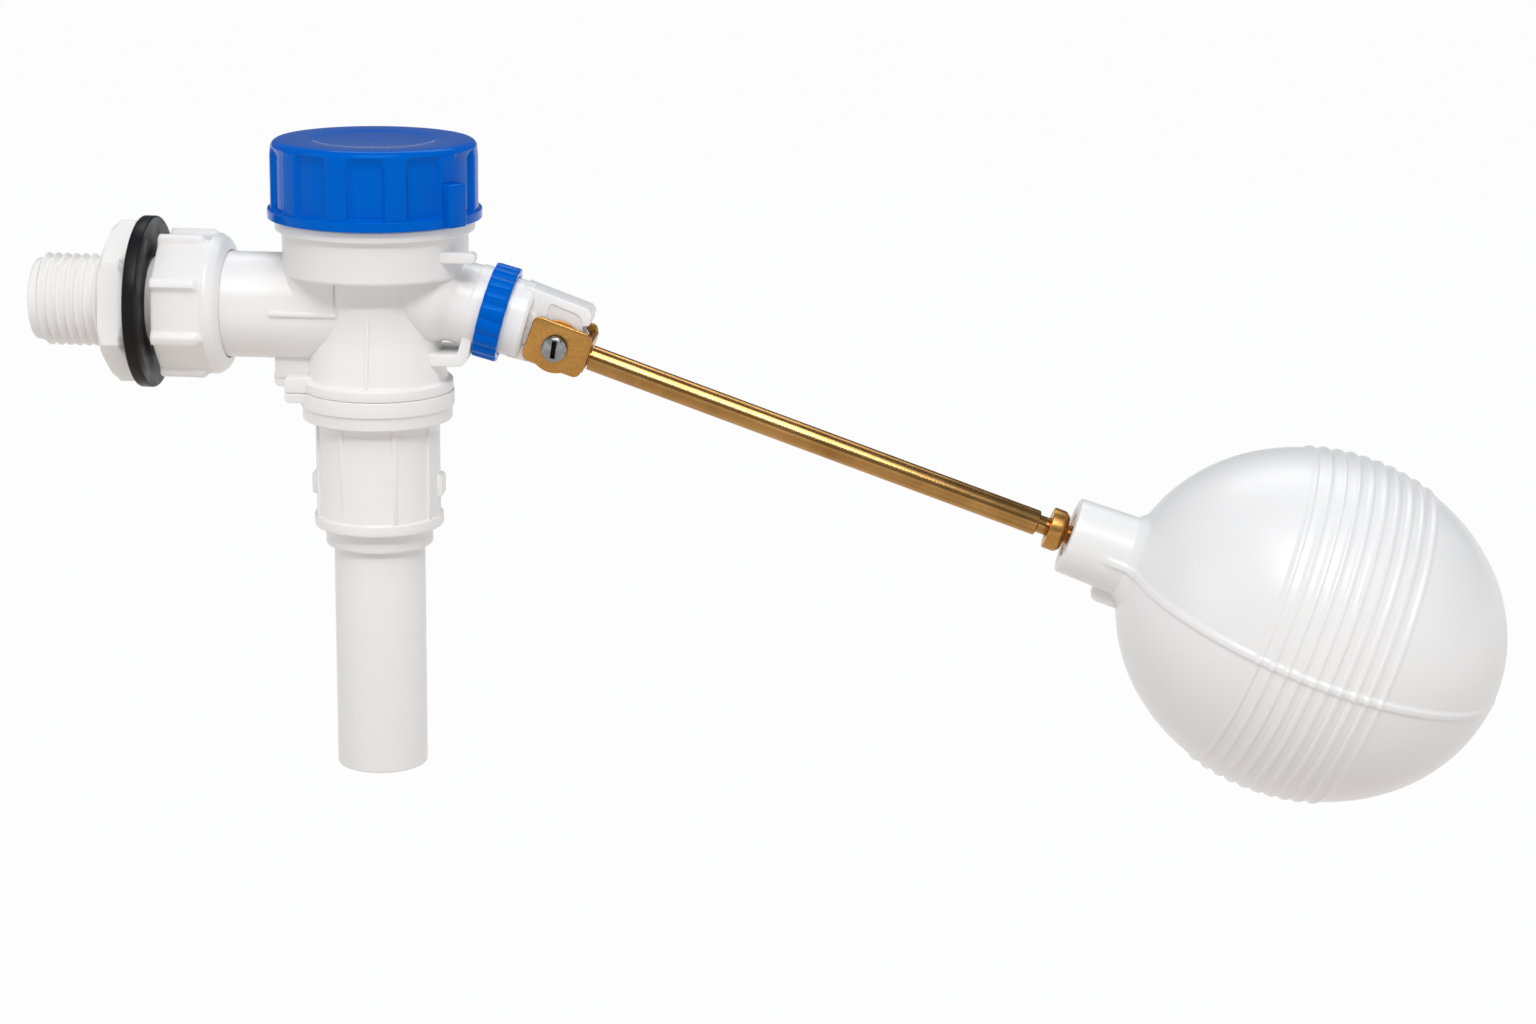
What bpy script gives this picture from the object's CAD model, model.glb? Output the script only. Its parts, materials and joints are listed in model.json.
import json
from math import acos, atan2, cos, exp, pi, radians, sin, sqrt

import bmesh
import bpy
from mathutils import Matrix, Vector


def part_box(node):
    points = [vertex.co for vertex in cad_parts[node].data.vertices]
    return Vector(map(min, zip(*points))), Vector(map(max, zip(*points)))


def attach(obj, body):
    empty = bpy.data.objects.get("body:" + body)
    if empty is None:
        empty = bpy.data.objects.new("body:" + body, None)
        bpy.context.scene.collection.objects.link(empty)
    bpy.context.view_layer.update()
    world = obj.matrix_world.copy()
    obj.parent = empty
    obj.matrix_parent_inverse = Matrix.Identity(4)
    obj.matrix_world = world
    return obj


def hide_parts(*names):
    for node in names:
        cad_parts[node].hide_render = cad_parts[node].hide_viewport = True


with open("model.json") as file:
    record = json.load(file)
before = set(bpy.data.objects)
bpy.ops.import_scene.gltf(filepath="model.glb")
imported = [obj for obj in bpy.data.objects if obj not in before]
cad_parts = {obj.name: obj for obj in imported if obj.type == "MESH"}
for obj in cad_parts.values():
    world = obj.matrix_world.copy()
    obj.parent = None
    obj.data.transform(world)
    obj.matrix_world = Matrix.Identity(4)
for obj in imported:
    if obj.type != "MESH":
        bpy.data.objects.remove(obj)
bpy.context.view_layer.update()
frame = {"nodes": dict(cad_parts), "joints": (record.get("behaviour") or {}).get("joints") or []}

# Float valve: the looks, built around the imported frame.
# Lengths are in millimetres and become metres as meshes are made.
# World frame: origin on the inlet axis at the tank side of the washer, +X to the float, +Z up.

MM = 0.001
FULL_TURN = 2 * pi
SHARP = radians(38)


# ---------------------------------------------------------------- sizes read from the frame


def span(node):
    """Lowest and highest corner of a CAD node, in millimetres."""
    low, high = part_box(node)
    return low / MM, high / MM


def frame_at(origin, along, top):
    """A matrix whose local Z runs along a direction and whose local X points towards top."""
    z_axis = Vector(along).normalized()
    x_axis = (Vector(top) - Vector(top).dot(z_axis) * z_axis).normalized()
    rotation = Matrix((x_axis, z_axis.cross(x_axis), z_axis)).transposed().to_4x4()
    return Matrix.Translation(Vector(origin)) @ rotation


def joint_place(name):
    joint = next(item for item in frame["joints"] if item["name"] == name)
    return Vector(joint["pos_m"]) / MM


def slide_axis(name):
    joint = next(item for item in frame["joints"] if item["name"] == name)
    return Vector(joint["axis"])


WASHER_LOW, WASHER_HIGH = span("tank_washer")
NUT_LOW, NUT_HIGH = span("locknut")
NIPPLE_LOW, NIPPLE_HIGH = span("inlet_nipple")
UNION_LOW, UNION_HIGH = span("union_nut")
CAP_LOW, CAP_HIGH = span("screw_cap")
HOUSING_LOW, HOUSING_HIGH = span("outlet_housing")
BUSH_LOW, BUSH_HIGH = span("pipe_bush")
PIPE_LOW, PIPE_HIGH = span("drop_pipe")
BODY_LOW, BODY_HIGH = span("valve_body")
BODY_X = (PIPE_LOW.x + PIPE_HIGH.x) / 2
PIVOT = joint_place("arm_pivot")

ARM_TILT = radians(19.04)
PILOT_ORIGIN = Vector((81.0, 0, -0.2))
PILOT_ALONG = -slide_axis("plunger_travel")
ARM_ALONG = Vector((cos(ARM_TILT), 0, -sin(ARM_TILT)))
UP = Vector((0, 0, 1))
FRONT = Vector((0, -1, 0))
INLET = frame_at((0, 0, 0), (1, 0, 0), UP)
BODY = frame_at((BODY_X, 0, 0), UP, (1, 0, 0))
PILOT = frame_at(PILOT_ORIGIN, PILOT_ALONG, UP)
ARM = frame_at(PIVOT, ARM_ALONG, UP)
ROD = ARM @ Matrix.Translation((-0.65, 0, 0))
PIVOT_AXIS = frame_at(PIVOT, FRONT, UP)


def side_view(place):
    """The frame of a side outline: local X along the axis, local Y up from it, local Z to the front."""
    along, above = place.col[2].to_3d(), place.col[0].to_3d()
    rotation = Matrix((along, above, FRONT)).transposed().to_4x4()
    return Matrix.Translation(place.translation) @ rotation


PILOT_SIDE = side_view(PILOT)
ARM_SIDE = side_view(ARM)
FRONT_VIEW = Matrix(((1, 0, 0), (0, 0, -1), (0, 1, 0))).to_4x4()
PIVOT_ON_PILOT = PILOT_SIDE.inverted() @ PIVOT


# ---------------------------------------------------------------- shapes


def soften(points, steps=4, closed=False):
    """Turns (x, y, fillet) corners into an outline with round corners."""
    outline = []
    count = len(points)
    for index, (x, y, fillet) in enumerate(points):
        here = Vector((x, y))
        at_end = not closed and index in (0, count - 1)
        if fillet == 0 or at_end:
            outline.append(here)
            continue
        before = Vector(points[index - 1][:2]) - here
        after = Vector(points[(index + 1) % count][:2]) - here
        room = min(before.length, after.length) * 0.49
        before.normalize()
        after.normalize()
        half = acos(max(-1.0, min(1.0, before.dot(after)))) / 2
        if half > radians(88):
            outline.append(here)
            continue
        radius = min(fillet, room * sin(half) / cos(half))
        centre = here + (before + after).normalized() * radius / sin(half)
        reach = radius / (sin(half) / cos(half))
        first = here + before * reach - centre
        last = here + after * reach - centre
        start = atan2(first.y, first.x)
        turn = (atan2(last.y, last.x) - start + pi) % FULL_TURN - pi
        for step in range(steps + 1):
            angle = start + turn * step / steps
            outline.append(centre + radius * Vector((cos(angle), sin(angle))))
    return outline


def even_angles(count, extra=()):
    """Angles of a full turn, with finer steps round the extra angles."""
    angles = {round(FULL_TURN * index / count, 6) for index in range(count)}
    for middle in extra:
        for step in range(-16, 17):
            angles.add(round((middle + radians(step * 0.35)) % FULL_TURN, 6))
    return sorted(angles)


def lathe(profile, place, segments=120, ring=True, wave=None, angles=None):
    """Spins (height, radius) points about local Z; wave(height, radius, angle) gives the radius there."""
    turns = angles or even_angles(segments)
    verts, faces, rows = [], [], []
    for height, radius in profile:
        if radius < 1e-6:
            rows.append([len(verts)] * len(turns))
            verts.append(place @ Vector((0, 0, height)))
            continue
        rows.append(list(range(len(verts), len(verts) + len(turns))))
        for angle in turns:
            reach = wave(height, radius, angle) if wave else radius
            verts.append(place @ Vector((reach * cos(angle), reach * sin(angle), height)))
    pairs = list(zip(rows, rows[1:]))
    if ring:
        pairs.append((rows[-1], rows[0]))
    for low, high in pairs:
        for index in range(len(turns)):
            after = (index + 1) % len(turns)
            corners = [low[index], low[after], high[after], high[index]]
            faces.append([c for at, c in enumerate(corners) if c != corners[at - 1]])
    return verts, faces


def from_bmesh(shape, place):
    shape.verts.index_update()
    verts = [place @ vert.co for vert in shape.verts]
    faces = [[vert.index for vert in face.verts] for face in shape.faces]
    shape.free()
    return verts, faces


def slab(outline, low, high, place, bevel=0.3, steps=3):
    """An outline in the local XY plane, extruded from low to high, with rounded rims."""
    shape = bmesh.new()
    face = shape.faces.new([shape.verts.new((point[0], point[1], low)) for point in outline])
    grown = bmesh.ops.extrude_face_region(shape, geom=[face])
    moved = [item for item in grown["geom"] if isinstance(item, bmesh.types.BMVert)]
    bmesh.ops.translate(shape, verts=moved, vec=(0, 0, high - low))
    bmesh.ops.recalc_face_normals(shape, faces=shape.faces)
    if bevel:
        rims = [edge for edge in shape.edges if edge.calc_face_angle(0) > radians(50)]
        bmesh.ops.bevel(
            shape, geom=rims, offset=bevel, segments=steps, affect="EDGES",
            profile=0.5, clamp_overlap=True,
        )
    return from_bmesh(shape, place)


def rectangle(left, right, bottom, top, fillet=0.0):
    radii = fillet if isinstance(fillet, (list, tuple)) else [fillet] * 4
    corners = [(left, bottom), (right, bottom), (right, top), (left, top)]
    return [(x, y, radius) for (x, y), radius in zip(corners, radii)]


def block(left, right, bottom, top, near, far, fillet=0.0, bevel=0.3):
    """A rounded block seen from the front, between two depths along Y."""
    outline = soften(rectangle(left, right, bottom, top, fillet), closed=True)
    return slab(outline, -far, -near, FRONT_VIEW, bevel)


def drill(low, high, radius, place, segments):
    """A plain round tool for a hole, along local Z."""
    return lathe([(low, 0), (low, radius), (high, radius), (high, 0)], place, segments, ring=False)


def mesh_object(name, solids):
    verts, faces = [], []
    for points, corners in solids:
        start = len(verts)
        verts += [tuple(point * MM) for point in points]
        faces += [[start + index for index in face] for face in corners]
    mesh = bpy.data.meshes.new(name)
    mesh.from_pydata(verts, [], faces)
    shape = bmesh.new()
    shape.from_mesh(mesh)
    bmesh.ops.remove_doubles(shape, verts=shape.verts, dist=1e-8)
    bmesh.ops.recalc_face_normals(shape, faces=shape.faces)
    shape.to_mesh(mesh)
    shape.free()
    thing = bpy.data.objects.new(name, mesh)
    bpy.context.scene.collection.objects.link(thing)
    return thing


def applied(thing):
    """Bakes the object's modifiers into its mesh."""
    graph = bpy.context.evaluated_depsgraph_get()
    mesh = bpy.data.meshes.new_from_object(thing.evaluated_get(graph))
    thing.modifiers.clear()
    thing.data = mesh
    return thing


def combine(thing, solids, operation):
    """Joins solids to an object or cuts them out of it, one after the other."""
    for solid in solids:
        tool = mesh_object("tool", [solid])
        modifier = thing.modifiers.new("combine", "BOOLEAN")
        modifier.operation = operation
        modifier.solver = "MANIFOLD"
        modifier.object = tool
        applied(thing)
        bpy.data.objects.remove(tool)
    return thing


def weld(thing, solids):
    return combine(thing, solids, "UNION")


def carve(thing, solids):
    return combine(thing, solids, "DIFFERENCE")


def piece(thing, body, material, nodes):
    """Finishes a piece: its shading, its material, its body and the CAD nodes that it stands for."""
    thing.data.shade_smooth()
    thing.data.set_sharp_from_angle(angle=SHARP)
    thing.data.materials.clear()
    thing.data.materials.append(material)
    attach(thing, body)
    if nodes:
        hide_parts(*nodes)
    return thing


# ---------------------------------------------------------------- materials


class Paint:
    """A small helper that lays out the nodes of one Principled material."""

    def __init__(self, name, **constants):
        self.material = bpy.data.materials.new(name)
        self.material.use_nodes = True
        self.tree = self.material.node_tree
        self.shader = self.tree.nodes["Principled BSDF"]
        for socket, value in constants.items():
            self.shader.inputs[socket.replace("_", " ")].default_value = value
        self.place = self.tree.nodes.new("ShaderNodeTexCoord").outputs["Object"]

    def turn(self, rotation=(0, 0, 0), scale=(1, 1, 1)):
        node = self.tree.nodes.new("ShaderNodeMapping")
        node.vector_type = "TEXTURE"
        node.inputs["Rotation"].default_value = rotation
        node.inputs["Scale"].default_value = [1 / value for value in scale]
        self.tree.links.new(self.place, node.inputs["Vector"])
        return node.outputs["Vector"]

    def along(self, axis):
        node = self.tree.nodes.new("ShaderNodeSeparateXYZ")
        self.tree.links.new(self.place, node.inputs["Vector"])
        return node.outputs[axis]

    def noise(self, scale, detail=2.0, vector=None):
        node = self.tree.nodes.new("ShaderNodeTexNoise")
        node.inputs["Scale"].default_value = scale
        node.inputs["Detail"].default_value = detail
        self.tree.links.new(vector or self.place, node.inputs["Vector"])
        return node.outputs["Fac"]

    def spread(self, source, low, high, start=0.35, end=0.65):
        node = self.tree.nodes.new("ShaderNodeMapRange")
        node.inputs["From Min"].default_value = start
        node.inputs["From Max"].default_value = end
        node.inputs["To Min"].default_value = low
        node.inputs["To Max"].default_value = high
        self.tree.links.new(source, node.inputs["Value"])
        return node.outputs["Result"]

    def blend(self, factor, first, second):
        node = self.tree.nodes.new("ShaderNodeMix")
        node.data_type = "RGBA"
        for socket, value in (("A", first), ("B", second)):
            target = next(i for i in node.inputs if i.name == socket and i.type == "RGBA")
            if isinstance(value, tuple):
                target.default_value = (*value, 1)
            else:
                self.tree.links.new(value, target)
        self.tree.links.new(factor, node.inputs[0])
        return next(out for out in node.outputs if out.type == "RGBA")

    def add(self, first, second):
        node = self.tree.nodes.new("ShaderNodeMath")
        node.operation = "ADD"
        self.tree.links.new(first, node.inputs[0])
        self.tree.links.new(second, node.inputs[1])
        return node.outputs[0]

    def bump(self, height, strength, distance):
        node = self.tree.nodes.new("ShaderNodeBump")
        node.inputs["Strength"].default_value = strength
        node.inputs["Distance"].default_value = distance * MM
        self.tree.links.new(height, node.inputs["Height"])
        self.tree.links.new(node.outputs["Normal"], self.shader.inputs["Normal"])

    def set(self, socket, source):
        self.tree.links.new(source, self.shader.inputs[socket])


def moulded(name, colour, shade, gloss, grain=0.05, inner=0.0, depth=2.0, **surface):
    """Moulded plastic: faint colour drift, uneven gloss, a very fine skin and a little depth."""
    subsurface = {
        "Subsurface_Weight": inner, "Subsurface_Radius": (1.0, 0.9, 0.8), "Subsurface_Scale": depth * MM,
    }
    paint = Paint(name, **{"IOR": 1.5, **subsurface, **surface})
    drift = paint.noise(40, 3, paint.turn(scale=(1.0, 1.0, 0.5)))
    paint.set("Base Color", paint.blend(paint.spread(drift, 0, 1, 0.2, 0.8), colour, shade))
    haze = paint.noise(120, 4)
    paint.set("Roughness", paint.spread(haze, gloss[0], gloss[1], 0.2, 0.8))
    paint.bump(paint.noise(1500, 2), grain, 0.02)
    return paint.material


def drawn_metal(name, colour, shade, gloss, rotation, stretch, grain=0.1, dirt_depth=None):
    """Turned or drawn metal: fine streaks along one direction, with slight tarnish.

    Behind dirt_depth, a place along Y, the metal is black with dirt.
    """
    paint = Paint(name, Metallic=1.0)
    streaks = paint.noise(1.0, 3, paint.turn(rotation, stretch))
    tarnish = paint.noise(120, 5)
    both = paint.add(paint.spread(streaks, 0, 0.5), paint.spread(tarnish, 0, 0.5))
    clean = paint.blend(both, colour, shade)
    if dirt_depth is not None:
        start, end = (dirt_depth - DIRT_FADE) * MM, (dirt_depth + DIRT_FADE) * MM
        clean = paint.blend(paint.spread(paint.along("Y"), 0, 1, start, end), clean, DIRT)
    paint.set("Base Color", clean)
    paint.set("Roughness", paint.spread(streaks, gloss[0], gloss[1]))
    if grain:
        paint.bump(paint.add(streaks, paint.noise(900, 2)), grain, 0.05)
    return paint.material


def soft_rubber(name):
    """Black rubber: uneven between two near-blacks, with a fine matt skin."""
    paint = Paint(name, IOR=1.5, Specular_IOR_Level=0.18)
    drift = paint.spread(paint.noise(70, 4), 0, 1)
    paint.set("Base Color", paint.blend(drift, (0.006, 0.006, 0.0065), (0.012, 0.012, 0.0125)))
    paint.set("Roughness", paint.spread(paint.noise(220, 3), 0.3, 0.42))
    paint.bump(paint.noise(1100, 3), 0.12, 0.1)
    return paint.material


DIRT = (0.012, 0.011, 0.01)
DIRT_FADE = 0.15
WHITE = moulded(
    "white_plastic", (0.89, 0.883, 0.875), (0.865, 0.856, 0.846), (0.285, 0.34), grain=0.1, inner=0.1,
)
MILKY = moulded(
    "milky_plastic", (0.90, 0.90, 0.905), (0.88, 0.878, 0.88), (0.285, 0.33),
    grain=0.1, inner=0.2, depth=1.5,
)
BALL_SKIN = moulded(
    "float_skin", (0.885, 0.885, 0.89), (0.875, 0.873, 0.873), (0.285, 0.33),
    grain=0.1, inner=0.15, depth=0.8,
)
BLUE = moulded(
    "blue_plastic", (0.0, 0.122, 0.60), (0.0, 0.11, 0.565), (0.10, 0.16), grain=0.05,
    IOR=1.24, Specular_IOR_Level=0.4, Specular_Tint=(0.12, 0.72, 1.0, 1),
)
RUBBER = soft_rubber("black_rubber")
BRASS = drawn_metal(
    "tumbled_brass", (0.68, 0.36, 0.10), (0.52, 0.265, 0.07), (0.285, 0.38),
    (0, 0, 0), (1600, 1600, 1600), grain=0.1,
)
ROD_BRASS = drawn_metal(
    "drawn_brass", (0.64, 0.37, 0.13), (0.36, 0.185, 0.055), (0.21, 0.27),
    (0, ARM_TILT, 0), (9, 700, 700), grain=0.0,
)
STEEL = drawn_metal(
    "turned_steel", (0.36, 0.36, 0.37), (0.22, 0.22, 0.225), (0.2, 0.27),
    (0, 0, 0), (700, 60, 700), grain=0.1,
)
SLOTTED_STEEL = drawn_metal(
    "slotted_steel", (0.42, 0.42, 0.43), (0.26, 0.26, 0.265), (0.2, 0.27),
    (0, 0, 0), (700, 60, 700), grain=0.1, dirt_depth=-8.0,
)


# ---------------------------------------------------------------- inlet


THREAD_PITCH = 2.12
THREAD_STEPS = 14
FIRST_CREST = NIPPLE_LOW.x + 2.4
THREAD_END = -1.0
THREAD_CLEARANCE = 10.78


def inlet_nipple():
    """Threaded nipple: a plain lead, a rounded helical thread, a plain shank and a collar."""
    root, crest, shank, bore = 9.33, 10.48, 10.3, 7.0
    collar_radius = (NIPPLE_HIGH.z - NIPPLE_LOW.z) / 2
    collar_start = UNION_LOW.x + 0.3
    step = THREAD_PITCH / THREAD_STEPS

    def wave(height, radius, angle):
        if abs(radius - root) > 0.001:
            return radius
        turns = (height - FIRST_CREST) / THREAD_PITCH - angle / FULL_TURN
        fade = max(0.0, min(1.0, (height - FIRST_CREST + 0.9) / 0.9))
        return root + (crest - root) * fade * (0.5 + 0.5 * cos(FULL_TURN * turns)) ** 0.8

    profile = soften([
        (NIPPLE_LOW.x + 3.0, bore, 0), (NIPPLE_LOW.x + 0.4, bore, 0.2), (NIPPLE_LOW.x, bore + 0.5, 0.2),
        (NIPPLE_LOW.x, root - 0.1, 0.6), (NIPPLE_LOW.x + 1.0, root, 0),
    ])
    height = NIPPLE_LOW.x + 1.2
    while height < THREAD_END:
        profile.append(Vector((height, root)))
        height += step
    profile += soften([
        (THREAD_END, root, 0), (THREAD_END + 0.6, shank, 0.2), (collar_start, shank, 0.2),
        (collar_start, collar_radius, 0.3), (NIPPLE_HIGH.x, collar_radius, 0.2), (NIPPLE_HIGH.x, bore, 0),
    ])
    solid = lathe(profile, INLET, 180, wave=wave)
    piece(mesh_object("threaded_nipple", [solid]), "valve", WHITE, ["inlet_nipple"])


def locknut():
    """Hexagonal nut with soft corners, turned chamfers and a bore clear of the thread."""
    flat = 16.0
    corner = 18.75
    start, end = NUT_LOW.x, NUT_HIGH.x
    first = radians(52.4)
    sharpness = 60

    def wave(height, radius, angle):
        if radius < 12:
            return radius
        lean = (angle - first + pi / 6) % (pi / 3) - pi / 6
        facet = flat / cos(pi / 6 - abs(lean))
        return (facet ** -sharpness + radius ** -sharpness) ** (-1 / sharpness)

    profile = soften([
        (start + 0.7, THREAD_CLEARANCE, 0.0), (start, 11.5, 0.2), (start, 17.0, 0.3),
        (start + 1.0, corner, 0.4), (end - 1.5, corner, 0.4), (end, 16.4, 0.3),
        (end, 11.5, 0.2), (end - 0.7, THREAD_CLEARANCE, 0.0),
    ], closed=True)
    solid = lathe(profile, INLET, 240, wave=wave)
    piece(mesh_object("hex_locknut", [solid]), "locknut", WHITE, ["locknut"])


def tank_washer():
    """Flat rubber washer with a shallow step on its far face."""
    radius = (WASHER_HIGH.z - WASHER_LOW.z) / 2
    thick = WASHER_HIGH.x
    profile = soften([
        (0, THREAD_CLEARANCE, 0.2), (0, radius, 0.45), (thick, radius, 0.45),
        (thick, radius - 3.3, 0.0), (thick - 0.12, radius - 3.6, 0.0), (thick - 0.12, 12.2, 0.0),
        (thick, 11.9, 0.0), (thick, THREAD_CLEARANCE, 0.2),
    ], closed=True)
    solid = lathe(profile, INLET, 160)
    piece(mesh_object("rubber_washer", [solid]), "valve", RUBBER, ["tank_washer"])


def union_nut():
    """Nut with eight flats, a raised rib on each corner and a domed collar at its far end."""
    flat, rib, ribs = 15.2, 17.3, 8
    first = radians(65.4)
    start, ledge, end = UNION_LOW.x, 17.1, UNION_HIGH.x
    half_width = 1.35

    def wave(height, radius, angle):
        if radius < 14.6 or height > ledge:
            return radius
        lean = (angle - first + pi / ribs) % (FULL_TURN / ribs) - pi / ribs
        facet = flat / cos(pi / ribs - abs(lean))
        run = max(0.0, min(1.0, (ledge - 0.7 - height) / 1.3))
        edge = 1 / (1 + exp((abs(lean) * rib - half_width) / 0.16))
        lifted = facet + (rib - facet) * edge * run * run * (3 - 2 * run)
        return min(lifted, lifted - (rib - radius))

    outer = [(start, rib - 0.35, 0.0), (start + 0.1, rib - 0.12, 0.0), (start + 0.35, rib, 0.0)]
    step = 0.4
    height = start + 0.8
    while height < ledge - 0.2:
        outer.append((height, rib, 0.0))
        height += step
    profile = soften([
        (start, 13.5, 0.0), *outer, (ledge - 0.1, rib - 0.05, 0.0), (ledge, 16.0, 0.0),
        (ledge + 0.6, 15.95, 0.3), (end - 0.9, 15.0, 1.6), (end, 12.9, 0.4), (end, 12.3, 0.1),
        (ledge, 12.3, 0.1), (ledge, 13.5, 0.1),
    ], closed=True)
    solid = lathe(profile, INLET, 320, wave=wave)
    piece(mesh_object("ribbed_union_nut", [solid]), "valve", WHITE, ["union_nut"])


# ---------------------------------------------------------------- body


DRUM_BOTTOM = 8.4
RIM_BOTTOM = 18.2
RIM_TOP = 20.7
FLANGE_TOP = -15.9
WAIST_LINE = ((FLANGE_TOP, 15.9), (-11.0, 15.3), (-6.0, 14.3), (0.0, 13.7), (8.4, 13.4))
DRUM = 20.9
RIM = 22.4
NECK = 20.6
FLANGE = 17.2
TUBE = 12.0
BRANCH = 9.35
BODY_BOTTOM = HOUSING_HIGH.z + 0.08
EAR_LEFT = 33.9
EAR_HALF = 9.0
SKIRT_RIB_ANGLES = (-63.5, -25.5, 25.5, 63.5, 116.5, 154.5, 205.5, 243.5)
SHORT_RIB_ANGLE = -25.5


def body_core():
    """Drum, waist, flange and spigot, turned round the outlet way and the seat."""
    bottom, seat, cup, cup_floor = BODY_LOW.z, 21.0, 18.0, 12.0
    neck = []
    for height in (23.4, 26.4):
        neck += [(height - 0.8, NECK, 0.1), (height, NECK + 0.65, 0.15), (height + 0.8, NECK, 0.1)]
    points = [
        (bottom, 8.0, 0.1), (bottom, 12.3, 0.3), (BODY_BOTTOM, 12.3, 0.0), (BODY_BOTTOM, FLANGE, 0.25),
        (FLANGE_TOP, FLANGE, 0.5), *[(height, radius, 0.8) for height, radius in WAIST_LINE],
        (DRUM_BOTTOM, DRUM - 0.1, 0.9), (RIM_BOTTOM, DRUM, 0.3), (RIM_BOTTOM, RIM, 0.4),
        (RIM_TOP, RIM, 0.4), (RIM_TOP, NECK, 0.3), *neck,
        (BODY_HIGH.z, NECK, 0.3), (BODY_HIGH.z, cup, 0.2), (cup_floor, cup, 0.5), (cup_floor, 9.8, 0.3),
        (seat, 9.8, 0.2), (seat, 8.0, 0.2),
    ]
    return lathe(soften(points, closed=True), BODY, 144)


def inlet_tube():
    """Inlet tube with the collar that the union nut pulls on, and the narrow way into the body."""
    start, ledge, end, bore, way = 14.3, 16.8, BODY_X - 5, 8.5, 4.0
    points = [
        (start, bore, 0.2), (start, 13.2, 0.2), (ledge, 13.2, 0.1), (ledge, TUBE, 0.1),
        (end, TUBE, 0.0), (end, way, 0.0), (36.0, way, 0.0), (36.0, bore, 0.0),
    ]
    return lathe(soften(points, closed=True), INLET, 120)


def pilot_branch():
    """Side branch that widens into the body, with a low band before its blue nut."""
    band = BRANCH + 0.35
    points = [
        (-26, 0, 0), (-26, 11.4, 0), (-13, 11.4, 4.0), (-9.5, BRANCH, 4.0), (-5.6, BRANCH, 0.15),
        (-5.4, band, 0.1), (-2.9, band, 0.1), (-2.6, BRANCH, 0.1), (0.2, BRANCH, 0.2), (0.2, 0, 0),
    ]
    return lathe(soften(points), PILOT, 112, ring=False)


def body_lugs():
    """Gusset, clip lugs, ears, straps and mould ribs around the body."""
    strap = [
        (58.0, -11.6, 0.2), (74.3, -11.6, 2.5), (75.5, -9.2, 1.0), (78.0, 0.6, 0.0), (75.9, 1.2, 0.0),
        (73.0, -8.9, 0.6), (58.0, -8.9, 0.2),
    ]
    pillar = rectangle(EAR_LEFT, 46.0, -11.9, 11.9, [6.5, 0, 0, 6.5])
    rib_slope = [(31.4, -0.4, 0.5), (46.9, -0.4, 0.5), (46.9, 0.8, 0.5), (31.4, 0.8, 0.5)]
    tube_rib = slab(soften(rib_slope, closed=True), 8.0, TUBE + 0.62, FRONT_VIEW, 0.4)
    ridge = [(radius + 0.5, height, 0.8) for height, radius in WAIST_LINE[:4]]
    ridge = [(12.0, -16.2, 0), (16.4, -16.2, 0), *ridge[1:], (12.0, 0.6, 0)]
    across = Matrix(((0, 0, 1), (-1, 0, 0), (0, 1, 0))).to_4x4()
    waist_rib = slab(soften(ridge, closed=True), 53.6, 54.5, across, 0.3)
    gusset = block(31.0, 42.0, FLANGE_TOP, -8.0, -5.0, 5.0, 0.0, 0.35)
    clip = block(30.7, 40.0, -17.9, -14.4, -4.6, 4.6, [1.3, 0.2, 0.2, 0.7], 0.35)
    ear = block(EAR_LEFT, 46.0, BODY_BOTTOM, -14.9, -EAR_HALF, EAR_HALF, [0.2, 0.2, 0.2, 0.9], 0.35)
    front_tab = block(62.0, 78.1, 12.7, 15.1, -12.5, -9.2, [0.3, 1.1, 0.9, 0.3], 0.3)
    hoop = slab(soften(strap, closed=True), -7.5, 7.5, FRONT_VIEW, 0.4)
    column = slab(soften(pillar, closed=True), 0.0, 18.3, Matrix.Identity(4), 0.0)
    return [gusset, clip, ear, front_tab, hoop, column, tube_rib, waist_rib]


def valve_body():
    """Body in one moulding: the turned core with its tube, branch, lugs and ribs."""
    thing = mesh_object("moulded_body", [body_core()])
    weld(thing, [inlet_tube(), pilot_branch(), *body_lugs()])
    piece(thing, "valve", WHITE, ["valve_body"])


# ---------------------------------------------------------------- cap


def smooth_step(share):
    share = max(0.0, min(1.0, share))
    return share * share * (3 - 2 * share)


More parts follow.
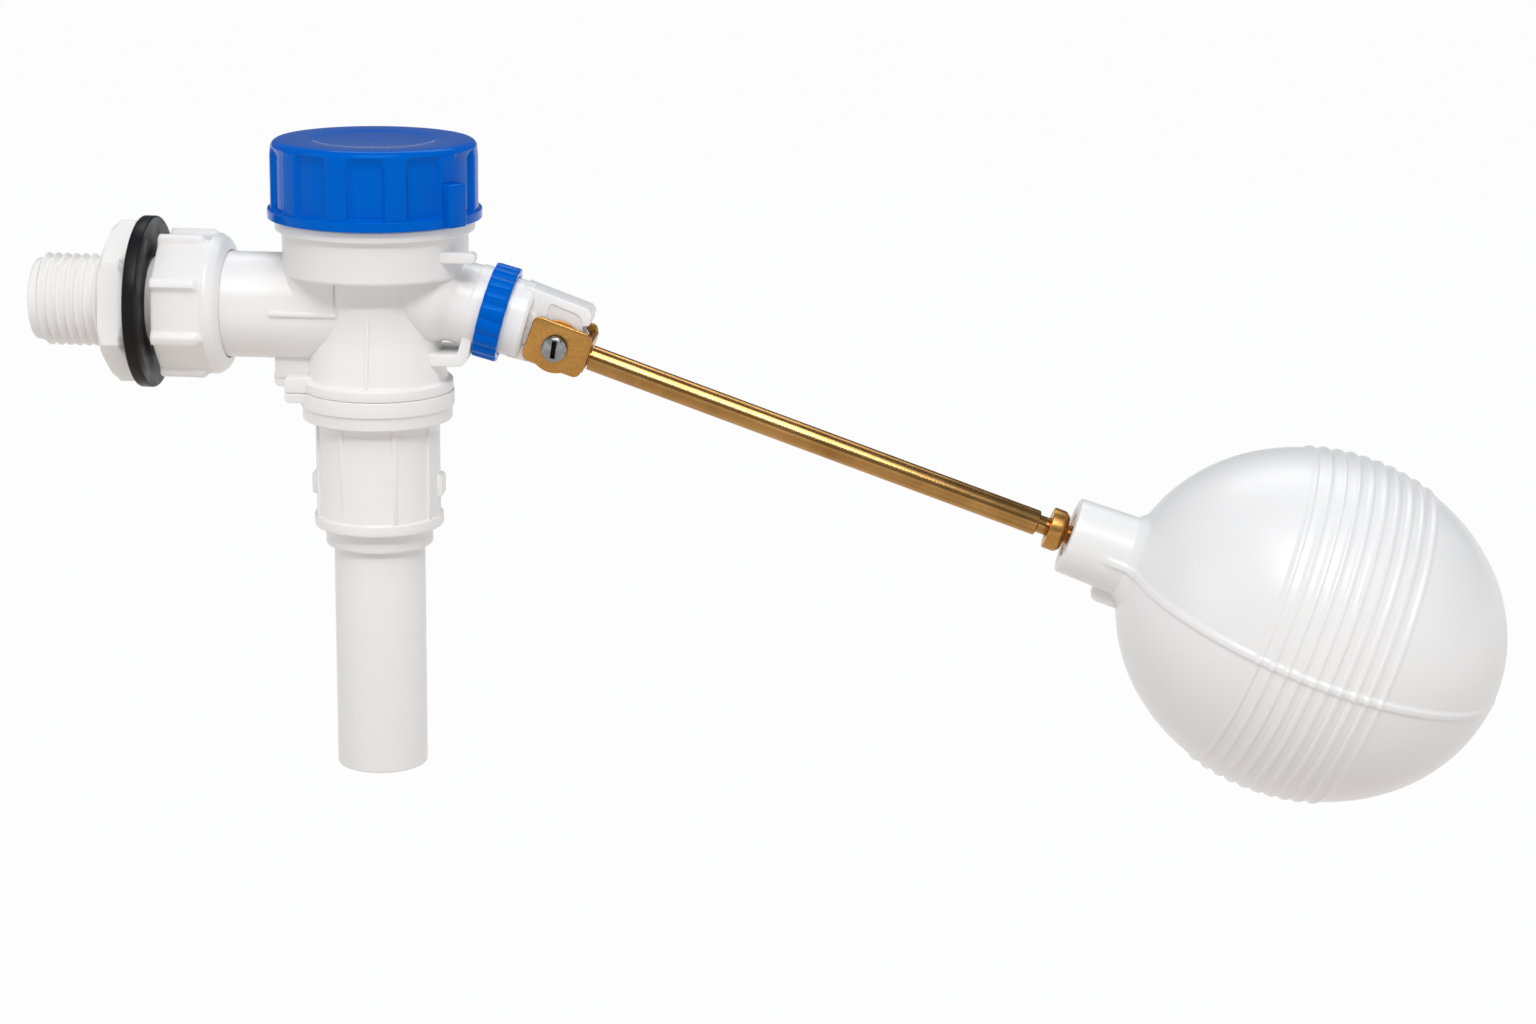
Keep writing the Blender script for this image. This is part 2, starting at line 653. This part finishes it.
def screw_cap():
    """Blue cap: eleven sunken panels between grips, a rounded top edge, a rim and a lock tab."""
    side, sink, ribs = 23.3, 1.0, 11
    first = radians(22.4 - 90)
    half_width = radians(5.6)
    low, high = CAP_LOW.z, CAP_HIGH.z
    rim, rim_top = 24.05, CAP_LOW.z + 2.2
    panel_top = high - 1.3

    def wave(height, radius, angle):
        if not rim_top < height < panel_top or not side - 2.6 <= radius <= side + 0.1:
            return radius
        lean = (angle - first + pi / ribs) % (FULL_TURN / ribs) - pi / ribs
        panel = smooth_step((abs(lean) - half_width) / radians(1.7))
        ends = smooth_step((panel_top - height) / 1.1) * smooth_step((height - rim_top) / 0.45)
        return radius - sink * panel * ends

    heights = [rim_top + 0.09 * step for step in range(6)]
    heights += [rim_top + 1 + step for step in range(int(high - 3.5 - rim_top))]
    outside = soften([(low, rim - 0.05, 0.5), (rim_top, rim, 0.6), (rim_top, side, 0.0)], steps=8)
    outside += [Vector((height, side)) for height in heights[1:]]
    outside += soften([
        (high - 3.2, side, 0.0), (high, side - 0.4, 2.7), (high, 14.3, 0.0), (high - 0.04, 13.9, 0.0),
        (high - 0.2, 13.3, 0.0), (high - 0.24, 12.6, 0.0), (high - 0.24, 0, 0),
    ], steps=16)
    inside = soften([
        (high - 2.4, 0, 0), (high - 2.4, 21.0, 0.6), (low + 1.0, 21.6, 0.2), (low, 21.9, 0.2),
    ])
    shell = lathe(outside[::-1] + inside[::-1], BODY, 396, ring=False, wave=wave)
    lock_place = BODY @ Matrix.Rotation(radians(56.5 - 90), 4, "Z")
    lock = soften(rectangle(21.8, 25.85, -2.7, 2.7, [0.0, 0.8, 0.8, 0.0]), closed=True)
    tab = slab(lock, low + 0.1, 30.7, lock_place, 0.5)
    gate = lathe(
        [(high - 0.5, 0), (high - 0.5, 0.5), (high - 0.2, 0.5), (high - 0.12, 0.35), (high - 0.1, 0)],
        BODY, 24, ring=False,
    )
    thing = weld(mesh_object("ribbed_cap", [shell]), [tab, gate])
    piece(thing, "screw_cap", BLUE, ["screw_cap"])


def pressure_cover():
    """Disc under the cap: a flat top with a sealing edge, open below."""
    low, high = span("pressure_cover")
    radius = (high.x - low.x) / 2
    profile = soften([
        (low.z + 0.6, 17.4, 0.2), (low.z + 0.6, radius, 0.3), (high.z, radius, 0.5), (high.z, 0, 0),
        (low.z, 0, 0), (low.z, 4.0, 0.2), (high.z - 1.5, 4.6, 0.4), (high.z - 1.5, 17.0, 0.4),
    ])
    solid = lathe(profile + [profile[0]], BODY, 96, ring=False)
    piece(mesh_object("cover_disc", [solid]), "pressure_cover", WHITE, ["pressure_cover"])


# ---------------------------------------------------------------- outlet


def outlet_housing():
    """Ribbed sleeve that hooks under the body: two bands, a skirt with mould ribs and a bottom ring."""
    top, bottom = HOUSING_HIGH.z, HOUSING_LOW.z
    skirt, bore, ring = 14.05, 12.6, 14.75
    points = [
        (top, bore, 0.2), (top, 17.4, 0.25), (-22.0, 17.45, 0.5), (-22.15, 17.0, 0.1),
        (-25.1, 17.0, 0.4), (-25.1, skirt + 0.25, 0.3), (-27.0, skirt, 1.0), (-47.4, skirt, 0.3),
        (-47.5, ring, 0.5), (bottom, ring, 0.5), (bottom, bore, 0.2),
    ]
    solids = [lathe(soften(points, closed=True), BODY, 144)]
    ear = soften(rectangle(EAR_LEFT, 41.2, -20.7, top - 0.02, [1.4, 0.2, 0.2, 0.2]), closed=True)
    solids.append(slab(ear, -EAR_HALF, EAR_HALF, FRONT_VIEW, 0.35))
    for angle in SKIRT_RIB_ANGLES:
        turn = BODY @ Matrix.Rotation(radians(angle - 90), 4, "Z") @ FRONT_VIEW
        low, proud = (-42.0, 0.0) if angle == SHORT_RIB_ANGLE else (-47.7, 0.45)
        inside = skirt - 0.7
        outline = [(inside, -25.0), (skirt + 0.5, -25.0), (skirt + proud, low), (inside, low)]
        solids.append(slab(outline, -0.55, 0.55, turn, 0.25))
    for side in (0, pi):
        turn = BODY @ Matrix.Rotation(side, 4, "Z") @ FRONT_VIEW
        nub = soften(rectangle(skirt - 0.8, skirt + 1.0, -43.2, -38.0, [0, 0.95, 0.95, 0]), closed=True)
        solids.append(slab(nub, -2.5, 2.5, turn, 0.3))
    thing = weld(mesh_object("outlet_sleeve", solids[:1]), solids[1:])
    piece(thing, "valve", WHITE, ["outlet_housing"])


def tube_profile(low, high, bore, radius, taper, fillets):
    """A plain turned sleeve between two heights, a little narrower at its top by taper."""
    corners = [(high, bore), (high, radius - taper), (low, radius), (low, bore)]
    return soften([(*corner, fillet) for corner, fillet in zip(corners, fillets)], closed=True)


def pipe_bush():
    radius = (BUSH_HIGH.x - BUSH_LOW.x) / 2
    profile = tube_profile(BUSH_LOW.z, BUSH_HIGH.z, 10.7, radius, 0.2, (0.2, 0.2, 0.6, 0.3))
    thing = mesh_object("push_in_bush", [lathe(profile, BODY, 120)])
    piece(thing, "valve", WHITE, ["pipe_bush"])


def drop_pipe():
    radius = (PIPE_HIGH.x - PIPE_LOW.x) / 2
    wall = 1.5
    profile = tube_profile(PIPE_LOW.z, PIPE_HIGH.z, radius - wall, radius, 0.0, (0.2, 0.3, 0.5, 0.4))
    thing = mesh_object("outlet_pipe", [lathe(profile, BODY, 120)])
    piece(thing, "valve", WHITE, ["drop_pipe"])


# ---------------------------------------------------------------- pilot


def pilot_nut():
    """Blue ring nut with soft flutes round it."""
    grip, half, flutes = 11.0, 2.8, 18

    def wave(height, radius, angle):
        if radius < 10.2:
            return radius
        swing = 0.5 + 0.5 * cos(flutes * angle)
        return radius - 0.5 * (1 - swing ** 0.45)

    bore, lip = 9.9, 9.2
    profile = soften([
        (-half, bore, 0.1), (-half, grip, 0.45), (-half / 3, grip, 0.0), (half / 3, grip, 0.0),
        (half, grip, 0.45), (half, lip, 0.2), (1.7, lip, 0.1), (1.7, bore, 0.1),
    ], closed=True)
    solid = lathe(profile, PILOT, 288, wave=wave)
    piece(mesh_object("fluted_ring_nut", [solid]), "valve", BLUE, ["pilot_nut"])


def hood_outline():
    """The hood seen from the side along the pilot axis."""
    x, y = PIVOT_ON_PILOT.x, PIVOT_ON_PILOT.y
    return [
        (5.0, -8.3, 0.3), (x + 5.6, y - 5.1, 0.8), (x + 6.0, y, 0.0), (x + 4.55, y + 5.8, 0.0),
        (x + 6.0, y + 6.5, 0.5), (x + 6.0, y + 10.0, 2.6), (x + 2.8, y + 10.25, 2.0), (5.0, 8.6, 0.3),
    ]


def pilot_housing():
    """Milky housing: a round socket, and a hood with a sunken side panel, open below for the lever."""
    x, y = PIVOT_ON_PILOT.x, PIVOT_ON_PILOT.y
    socket = soften([
        (0.6, 0, 0), (0.6, 9.0, 0.2), (1.4, 8.9, 0.0), (6.9, 8.85, 0.5), (7.6, 8.2, 0.3), (7.6, 0, 0),
    ])
    hood = slab(soften(hood_outline(), closed=True), -4.2, 4.2, PILOT_SIDE, 0.75, 4)
    step = soften([
        (6.0, -4.5, 0.5), (9.6, -4.5, 0.8), (9.6, 2.4, 1.2),
        (7.9, 3.6, 0.8), (7.9, 7.0, 0.6), (6.0, 7.0, 0.5),
    ], closed=True)
    collar = slab(step, -4.8, 4.8, PILOT_SIDE, 0.55, 4)
    thing = mesh_object("pilot_hood", [lathe(socket, PILOT, 96, ring=False)])
    weld(thing, [hood, collar])
    end = x + 9
    channel = slab([
        (8.6, -12), (end, -12), (end, y + 6.2), (x + 4.7, y + 6.2), (x + 4.2, y + 8.2), (8.6, 6.4),
    ], -2.9, 2.9, PILOT_SIDE, 0)
    way_place = frame_at(PILOT_SIDE @ Vector((0, y + 3.3, 0)), PILOT_ALONG, UP)
    way = drill(5.0, 14.0, 1.8, way_place, 32)
    pin = drill(-10, 10, 1.8, PIVOT_AXIS, 32)
    panel = soften([
        (11.4, y, 0.3), (x + 4.4, y, 0.3), (x + 4.4, y + 8.2, 2.4), (11.4, 6.4, 0.8),
    ], closed=True)
    carve(thing, [channel, way, pin])
    for side in (-1, 1):
        near, far = sorted((side * 3.9, side * 5.5))
        carve(thing, [slab(panel, near, far, PILOT_SIDE, 0.2)])
    piece(thing, "valve", MILKY, ["pilot_housing"])


# ---------------------------------------------------------------- lever and float


def lever_bracket():
    """Brass fork: a cheek on each side of the hood and the web that holds the rod."""
    left, right, bottom, top = -6.6, 7.3, -4.9, 5.6
    inside, outside = 5.4, 6.6
    cheek = soften(rectangle(left, right, bottom, top, 1.7), 6, closed=True)
    web = soften(rectangle(6.4, 7.6, -3.4, 4.2, 0.4), closed=True)
    solids = [
        slab(web, -6.2, 6.2, ARM_SIDE, 0.3),
        slab(cheek, inside, outside, ARM_SIDE, 0.28),
        slab(cheek, -outside, -inside, ARM_SIDE, 0.28),
    ]
    thing = weld(mesh_object("brass_fork", solids[:1]), solids[1:])
    pin = drill(-10, 10, 1.8, PIVOT_AXIS, 40)
    hole = drill(5, 9, 2.3, ROD, 40)
    carve(thing, [pin, hole])
    piece(thing, "float_arm", BRASS, ["lever_bracket"])


def lever_washers():
    """Two thin brass washers between the hood and the cheeks."""
    bore, radius, thick = 1.8, 6.1, 0.6
    for name, node, near in (
        ("front_washer", "lever_washer_front", 4.5), ("back_washer", "lever_washer_back", -5.1),
    ):
        far = near + thick
        corners = [(near, bore, 0.1), (near, radius, 0.2), (far, radius, 0.2), (far, bore, 0.1)]
        solid = lathe(soften(corners, closed=True), PIVOT_AXIS, 80)
        piece(mesh_object(name, [solid]), "valve", BRASS, [node])


def pivot_screw():
    """Screw with a domed, slotted head."""
    head, radius = 6.9, 2.95
    profile = soften([
        (-9.6, 0, 0), (-9.6, 1.5, 0.3), (head, 1.5, 0.1), (head, radius, 0.15), (head + 1.25, radius, 0.45),
        (head + 1.75, radius - 0.55, 0.3), (head + 1.7, radius - 0.8, 0.2), (head + 2.0, 0, 0),
    ])
    thing = mesh_object("slotted_pivot", [lathe(profile, PIVOT_AXIS, 72, ring=False)])
    slot_place = PIVOT_AXIS @ Matrix.Rotation(radians(-8), 4, "Z")
    slot = slab(rectangle(-2.0, 2.0, -0.55, 0.55), head + 0.2, head + 3, slot_place, 0)
    carve(thing, [slot])
    piece(thing, "valve", SLOTTED_STEEL, ["pivot_screw"])


def pivot_nut():
    """Hexagonal nut behind the lever, with turned chamfers."""
    flat, corner, bore = 2.75, 3.15, 1.8

    def wave(height, radius, angle):
        if radius < 2:
            return radius
        lean = (angle + pi / 6) % (pi / 3) - pi / 6
        return min(radius, flat / cos(pi / 6 - abs(lean)))

    profile = soften([
        (-9.1, bore, 0.1), (-9.1, flat, 0.0), (-8.8, corner, 0.1),
        (-7.2, corner, 0.1), (-6.9, flat, 0.0), (-6.9, bore, 0.1),
    ], closed=True)
    thing = mesh_object("pivot_hex_nut", [lathe(profile, PIVOT_AXIS, 96, wave=wave)])
    piece(thing, "valve", STEEL, ["pivot_nut"])


def float_rod():
    """Drawn rod with a chamfered shoulder and a plain turned tip."""
    shoulder, radius, neck, tip = 115.8, 2.9, 2.05, 136.0
    start = 6.5
    points = [
        (start, 0, 0), (start, 2.0, 0), (7.9, 2.0, 0), (7.9, radius, 0.15), (8.0, radius, 0),
        (60, radius, 0), (shoulder, radius, 0.45), (shoulder, neck, 0.15), (tip, neck, 0.3), (tip, 0, 0),
    ]
    solid = lathe(soften(points), ROD, 72, ring=False)
    piece(mesh_object("drawn_rod", [solid]), "float_arm", ROD_BRASS, ["float_rod"])


def rod_locknut():
    """Round nut with a rounded far edge and a small face ring against the float."""
    start, end, bore, radius = 118.35, 122.25, 2.35, 4.8
    profile = soften([
        (start, bore, 0.1), (start, radius - 0.1, 0.35), (118.7, radius, 0.1),
        (121.2, radius, 0.9), (end, 3.9, 0.3), (end, bore, 0.1),
    ], closed=True)
    solid = lathe(profile, ROD, 80)
    piece(mesh_object("round_locknut", [solid]), "float_arm", BRASS, ["rod_locknut"])


def float_insert():
    """Threaded brass insert in the ball's neck."""
    start, end, bore, radius = 123.5, 134.5, 2.35, 4.6
    profile = soften([
        (start, bore, 0.1), (start, radius, 0.2), (end, radius, 0.2), (end, bore, 0.1),
    ], closed=True)
    solid = lathe(profile, ROD, 64)
    piece(mesh_object("threaded_insert", [solid]), "float_arm", BRASS, ["float_insert"])


BALL_CENTRE = 181.8
BALL_HALF = 44.5
BALL_RADIUS = 39.6
NECK_START = 123.2


def ball_profile():
    """Points from the neck's mouth to the far pole, with ten soft ribs round the middle."""
    neck = 9.3
    join = BALL_CENTRE - BALL_HALF * sqrt(1 - (neck / BALL_RADIUS) ** 2)
    points = [(NECK_START, 8.35), (NECK_START + 0.15, 8.65), (NECK_START + 0.5, 8.8)]
    for step in range(1, 12):
        share = step / 12
        points.append((NECK_START + 0.5 + (join - NECK_START - 0.9) * share, 8.8 + 0.45 * share))
    start = acos(-(join + 0.5 - BALL_CENTRE) / BALL_HALF)
    first, last, count, width, height = -14.3, 13.8, 10, 0.95, 0.5
    pitch = (last - first) / (count - 1)
    steps = 300
    for step in range(steps + 1):
        angle = start + (pi - start) * step / steps
        along = -BALL_HALF * cos(angle)
        away = [(along - first - pitch * index) / (width * 0.62) for index in range(count)]
        bump = sum(exp(-(share ** 4)) for share in away)
        points.append((BALL_CENTRE + along, max(0.0, BALL_RADIUS * sin(angle) + height * bump)))
    points[-1] = (points[-1][0], 0.0)
    return points


def float_ball():
    """Blown float: neck, ribbed ball, the raised seam of its two halves, a pip and a small tab."""
    seam_turn = radians(90 + 4)
    seams = (seam_turn % FULL_TURN, (seam_turn + pi) % FULL_TURN)

    def wave(height, radius, angle):
        if height < NECK_START + 9 or radius < 3:
            return radius
        away = min(abs((angle - seam + pi) % FULL_TURN - pi) for seam in seams) * radius
        fade = max(0.0, min(1.0, (radius - 3) / 5)) * max(0.0, min(1.0, height - NECK_START - 9))
        return radius + 0.55 * exp(-((away / 0.95) ** 4)) * fade

    outer = ball_profile()
    inner_half, inner_radius, steps = 43.0, 38.1, 39
    inner = [(BALL_CENTRE + inner_half, 0.0)]
    for step in range(1, steps + 1):
        angle = (pi - radians(7.4)) * step / steps
        inner.append((BALL_CENTRE + inner_half * cos(angle), inner_radius * sin(angle)))
    inner += [(NECK_START + 0.3, 4.9), (NECK_START, 5.3), outer[0]]
    shell = lathe(outer + inner, ROD, ring=False, wave=wave, angles=even_angles(150, seams))
    pip_outline = [(43.5, 0, 0), (43.5, 3.4, 0), (44.6, 2.6, 0.5), (45.0, 0, 0)]
    pip_outline = [(BALL_CENTRE + along, radius, fillet) for along, radius, fillet in pip_outline]
    pip = lathe(soften(pip_outline), ROD, 40, ring=False)
    tab_outline = soften(rectangle(132.8, 139.7, -12.0, -8.0, [1.7, 0.2, 0.2, 0.3]), closed=True)
    tab = slab(tab_outline, -1.7, 1.7, side_view(ROD), 0.5)
    thing = weld(mesh_object("ribbed_float", [shell]), [pip, tab])
    piece(thing, "float_arm", BALL_SKIN, ["float_ball"])


# ---------------------------------------------------------------- carried-over inner parts


def inner_parts():
    """Inner parts keep their CAD shape and take their finish."""
    finishes = {
        "union_gasket": RUBBER, "outlet_gasket": RUBBER, "pilot_seal": RUBBER, "plunger_pad": RUBBER,
        "diaphragm": RUBBER, "diaphragm_plate": WHITE, "diaphragm_retainer": WHITE,
        "closing_spring": STEEL, "pilot_nozzle": BRASS, "pilot_plunger": WHITE,
    }
    for node, material in finishes.items():
        thing = frame["nodes"][node]
        thing.data.materials.clear()
        thing.data.materials.append(material)


# ---------------------------------------------------------------- stage


CAMERA_PLACE = Vector((192.31, -704.99, 134.16))
CAMERA_AZIMUTH = radians(4.0)
CAMERA_ELEVATION = radians(14.2)
CAMERA_ROLL = radians(0.9)
CAMERA_LENS = 75
FLOOR_HEIGHT = -1300.0
FLOOR_HALF = 9.0
GLOW_CENTRE = (0, -2.5)
GLOW_START, GLOW_END = 3.2, 4.9
FLOOR_PAINT = (0.1, 0.1, 0.1)
FLOOR_GLOW_NEAR = (0.65, 0.605, 0.57)
FLOOR_GLOW_FAR = (0.96, 0.96, 0.96)
SKY_LOW = (0.98, 0.98, 0.98)
SKY_HIGH = (0.14, 0.145, 0.155)
SOFTBOXES = (
    ("key", (0.30, -1.0, 1.6), (0.15, 0, 0), (1.3, 1.0), 17),
    ("strip", (0.25, -1.35, 1.25), (0.15, 0, 0), (1.1, 0.09), 9),
    ("left", (-1.5, -0.9, 0.7), (0.1, 0, 0), (0.9, 1.2), 5),
    ("right", (1.8, -0.8, 0.7), (0.2, 0, 0), (0.9, 1.2), 3),
    ("back", (0.2, 1.0, 1.4), (0.15, 0, 0), (1.4, 0.6), 7),
)


def camera():
    """The camera, turned from its azimuth, its elevation and a slight roll."""
    back = Vector((
        sin(CAMERA_AZIMUTH) * cos(CAMERA_ELEVATION),
        -cos(CAMERA_AZIMUTH) * cos(CAMERA_ELEVATION),
        sin(CAMERA_ELEVATION),
    ))
    right = Vector((cos(CAMERA_AZIMUTH), sin(CAMERA_AZIMUTH), 0))
    above = back.cross(right)
    right, above = (
        cos(CAMERA_ROLL) * right + sin(CAMERA_ROLL) * above,
        cos(CAMERA_ROLL) * above - sin(CAMERA_ROLL) * right,
    )
    rotation = Matrix((right, above, back)).transposed().to_4x4()
    data = bpy.data.cameras.new("camera")
    data.lens = CAMERA_LENS
    data.sensor_width = 36
    data.clip_start = 0.01
    data.clip_end = 50
    thing = bpy.data.objects.new("camera", data)
    thing.matrix_world = Matrix.Translation(CAMERA_PLACE * MM) @ rotation
    bpy.context.scene.collection.objects.link(thing)
    bpy.context.scene.camera = thing


def floor():
    """A wide pale floor that glows towards its edges and stays greyer under the object."""
    paint = Paint("pale_floor", Roughness=0.95)
    distance = paint.tree.nodes.new("ShaderNodeVectorMath")
    distance.operation = "DISTANCE"
    distance.inputs[1].default_value = (*GLOW_CENTRE, FLOOR_HEIGHT * MM)
    paint.tree.links.new(paint.place, distance.inputs[0])
    glow = paint.spread(distance.outputs["Value"], 0.0, 1.0, GLOW_START, GLOW_END)
    paint.set("Emission Color", paint.blend(glow, FLOOR_GLOW_NEAR, FLOOR_GLOW_FAR))
    paint.shader.inputs["Base Color"].default_value = (*FLOOR_PAINT, 1)
    paint.shader.inputs["Emission Strength"].default_value = 1.0
    mesh = bpy.data.meshes.new("sweep")
    signs = ((-1, -1), (1, -1), (1, 1), (-1, 1))
    corners = [(x * FLOOR_HALF, y * FLOOR_HALF, FLOOR_HEIGHT * MM) for x, y in signs]
    mesh.from_pydata(corners, [], [(0, 1, 2, 3)])
    thing = bpy.data.objects.new("sweep", mesh)
    thing.data.materials.append(paint.material)
    bpy.context.scene.collection.objects.link(thing)


def softbox(name, place, aim, size, power):
    """A rectangular lamp, in metres and watts."""
    data = bpy.data.lights.new(name, "AREA")
    data.shape = "RECTANGLE"
    data.size, data.size_y = size
    data.energy = power
    thing = bpy.data.objects.new(name, data)
    thing.location = place
    thing.rotation_euler = (Vector(place) - Vector(aim)).to_track_quat("Z", "Y").to_euler()
    bpy.context.scene.collection.objects.link(thing)


def lights():
    """A sky that is bright at its edge and darker above, and five softboxes."""
    world = bpy.data.worlds.new("studio")
    world.use_nodes = True
    tree = world.node_tree
    direction = tree.nodes.new("ShaderNodeTexCoord")
    split = tree.nodes.new("ShaderNodeSeparateXYZ")
    ramp = tree.nodes.new("ShaderNodeValToRGB")
    tree.links.new(direction.outputs["Generated"], split.inputs["Vector"])
    tree.links.new(split.outputs["Z"], ramp.inputs["Fac"])
    tree.links.new(ramp.outputs["Color"], tree.nodes["Background"].inputs["Color"])
    ramp.color_ramp.elements[0].color = (*SKY_LOW, 1)
    ramp.color_ramp.elements[0].position = 0.02
    ramp.color_ramp.elements[1].color = (*SKY_HIGH, 1)
    ramp.color_ramp.elements[1].position = 0.06
    bpy.context.scene.world = world
    for lamp in SOFTBOXES:
        softbox(*lamp)


def view_transform():
    bpy.context.scene.view_settings.view_transform = "Standard"


# ---------------------------------------------------------------- build


def build():
    camera()
    floor()
    lights()
    view_transform()
    inlet_nipple()
    locknut()
    tank_washer()
    union_nut()
    valve_body()
    screw_cap()
    pressure_cover()
    outlet_housing()
    pipe_bush()
    drop_pipe()
    pilot_nut()
    pilot_housing()
    lever_bracket()
    lever_washers()
    pivot_screw()
    pivot_nut()
    float_rod()
    rod_locknut()
    float_insert()
    float_ball()
    inner_parts()


build()
bpy.context.view_layer.update()
